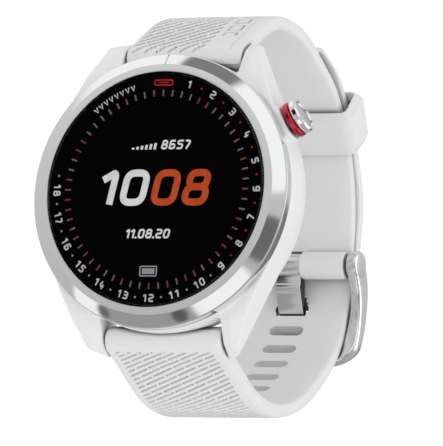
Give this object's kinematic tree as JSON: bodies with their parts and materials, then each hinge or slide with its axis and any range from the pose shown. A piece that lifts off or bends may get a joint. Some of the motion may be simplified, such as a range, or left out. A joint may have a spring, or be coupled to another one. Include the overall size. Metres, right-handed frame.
{
  "type": "golf gps watch",
  "caption": "Round golf GPS wristwatch with a flat lens, metal bezel, side push button and a white silicone band buckled into a loop.",
  "frame": {"origin": "centre of the flat case back", "axes": "+X towards 3 o'clock, +Z towards 12 o'clock, +Y out of the case back towards the wrist, so the dial faces -Y"},
  "size_m": [0.045, 0.0575, 0.0626],
  "materials": {
    "white_polymer": "satin moulded",
    "white_silicone": "soft matte silicone",
    "polished_steel": "polished, lightly turned",
    "satin_steel": "satin",
    "red_anodised": "satin anodised",
    "lens_glass": "clear, flat, polished",
    "display_black": "black glass laminate",
    "black_polymer": "moulded",
    "black_rubber": "matte",
    "circuit_board": "solder mask",
    "cell_foil": "foil pouch",
    "gold_plate": "gold plated",
    "amber_film": "polyimide film"
  },
  "bodies": {
    "case": {"case_body": "white_polymer", "bezel": "polished_steel", "lens": "lens_glass", "lens_gasket": "black_rubber", "display_module": "display_black", "display_cable": "amber_film", "mid_frame": "black_polymer", "antenna": "satin_steel", "main_board": "circuit_board", "processor_can": "satin_steel", "radio_can": "satin_steel", "battery": "cell_foil", "battery_lead": "black_rubber", "vibration_motor": "satin_steel", "rear_cover": "white_polymer", "rear_cover_seal": "black_rubber", "charge_port": "black_polymer", "rear_screw_1": "satin_steel", "rear_screw_2": "satin_steel", "rear_screw_3": "satin_steel", "rear_screw_4": "satin_steel", "charge_contact_1": "gold_plate", "charge_contact_2": "gold_plate", "charge_contact_3": "gold_plate", "charge_contact_4": "gold_plate", "side_switch": "black_polymer", "button_spring": "satin_steel", "lower_strap": "white_silicone", "lower_bar_tube": "satin_steel", "lower_bar_fixed_tip": "satin_steel", "lower_bar_spring": "satin_steel"},
    "button": {"button_cap": "polished_steel", "button_ring": "red_anodised", "button_stem": "satin_steel", "button_seal": "black_rubber", "button_clip": "satin_steel"},
    "band": {"upper_strap": "white_silicone", "upper_bar_tube": "satin_steel", "upper_bar_fixed_tip": "satin_steel", "upper_bar_spring": "satin_steel", "buckle_bar": "satin_steel"},
    "keeper": {"keeper": "white_silicone"},
    "upper_release": {"upper_release_tip": "satin_steel"},
    "lower_release": {"lower_release_tip": "satin_steel"},
    "frame": {"buckle_frame": "polished_steel"},
    "tongue": {"buckle_tongue": "polished_steel"}
  },
  "joints": [
    {"name": "button_press", "type": "slide", "parent": "case", "child": "button", "axis": [-0.866, 0, -0.5], "range_m": [0, 0.00045], "stiffness_N_per_m": 150, "deforming": ["button_spring"]},
    {"name": "band_flex", "type": "hinge", "parent": "case", "child": "band", "pos_m": [0, -0.003, 0.0224], "axis": [1, 0, 0], "range_deg": [-5, 5], "stiffness_Nm_per_rad": 0.3, "deforming": ["lower_strap"]},
    {"name": "keeper_slide", "type": "slide", "parent": "band", "child": "keeper", "axis": [0, 0.6232, -0.7821], "range_m": [-0.0015, 0.0015], "stiffness_N_per_m": 60},
    {"name": "upper_release_slide", "type": "slide", "parent": "band", "child": "upper_release", "axis": [-1, 0, 0], "range_m": [0, 0.0012], "stiffness_N_per_m": 60, "deforming": ["upper_bar_spring"]},
    {"name": "lower_release_slide", "type": "slide", "parent": "case", "child": "lower_release", "axis": [-1, 0, 0], "range_m": [0, 0.0012], "stiffness_N_per_m": 60, "deforming": ["lower_bar_spring"]},
    {"name": "frame_lift", "type": "hinge", "parent": "band", "child": "frame", "pos_m": [0, 0.0409, -0.0027], "axis": [1, 0, 0], "range_deg": [0, 5], "stiffness_Nm_per_rad": 0.02},
    {"name": "tongue_lift", "type": "hinge", "parent": "band", "child": "tongue", "pos_m": [0, 0.0409, -0.0027], "axis": [1, 0, 0], "range_deg": [0, 5], "stiffness_Nm_per_rad": 0.005}
  ],
  "couplings": [
    {"joint": "tongue_lift", "follows": "frame_lift", "ratio": 1}
  ]
}
